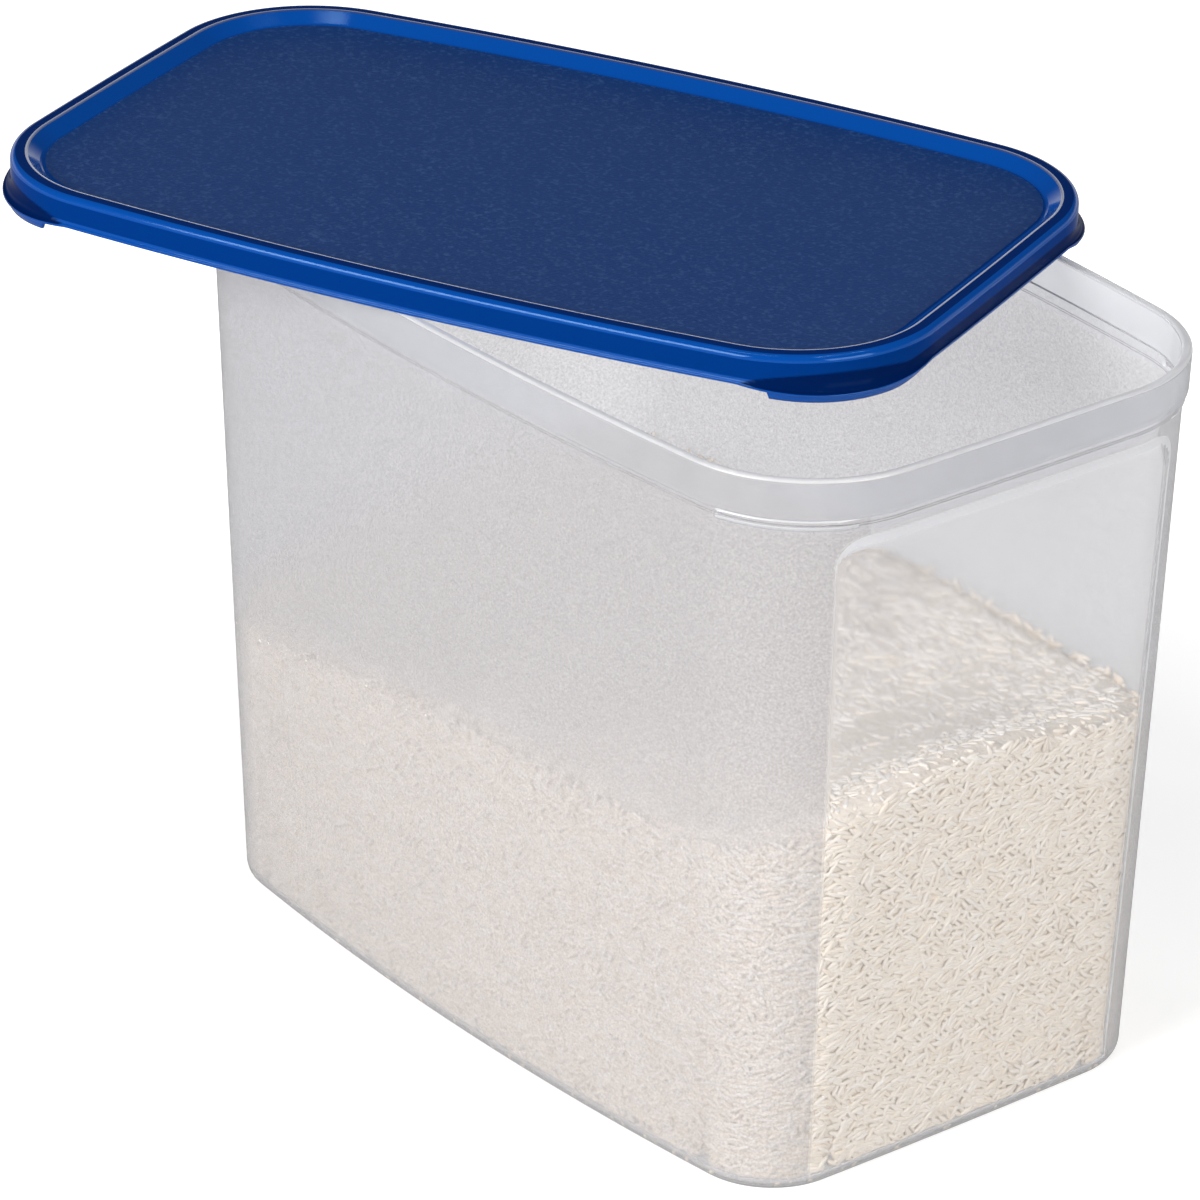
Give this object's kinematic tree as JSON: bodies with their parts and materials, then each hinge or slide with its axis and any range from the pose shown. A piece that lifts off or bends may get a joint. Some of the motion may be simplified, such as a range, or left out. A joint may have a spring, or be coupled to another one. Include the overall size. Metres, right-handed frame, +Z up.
{
  "type": "rice bin with press-on lid",
  "caption": "Tapered see-through food container, deep and oblong with rounded corners, a clear end window, a loose blue press-on lid lying askew on its rim, and a bed of rice inside.",
  "frame": {"origin": "middle of the container's flat base, on the surface that it stands on", "axes": "+Z up out of the container's mouth, +X towards the end wall with the clear window, +Y across the width"},
  "size_m": [0.3981, 0.2764, 0.261],
  "materials": {
    "frosted_plastic": "satin",
    "blue_plastic": "gloss",
    "rice": "matte"
  },
  "bodies": {
    "container": {"container": "frosted_plastic", "rice": "rice"},
    "lid": {"lid": "blue_plastic"}
  },
  "joints": [
    {"name": "lid_lift", "type": "slide", "parent": "container", "child": "lid", "axis": [0, 0, 1], "range_m": [0, 0.28]}
  ]
}
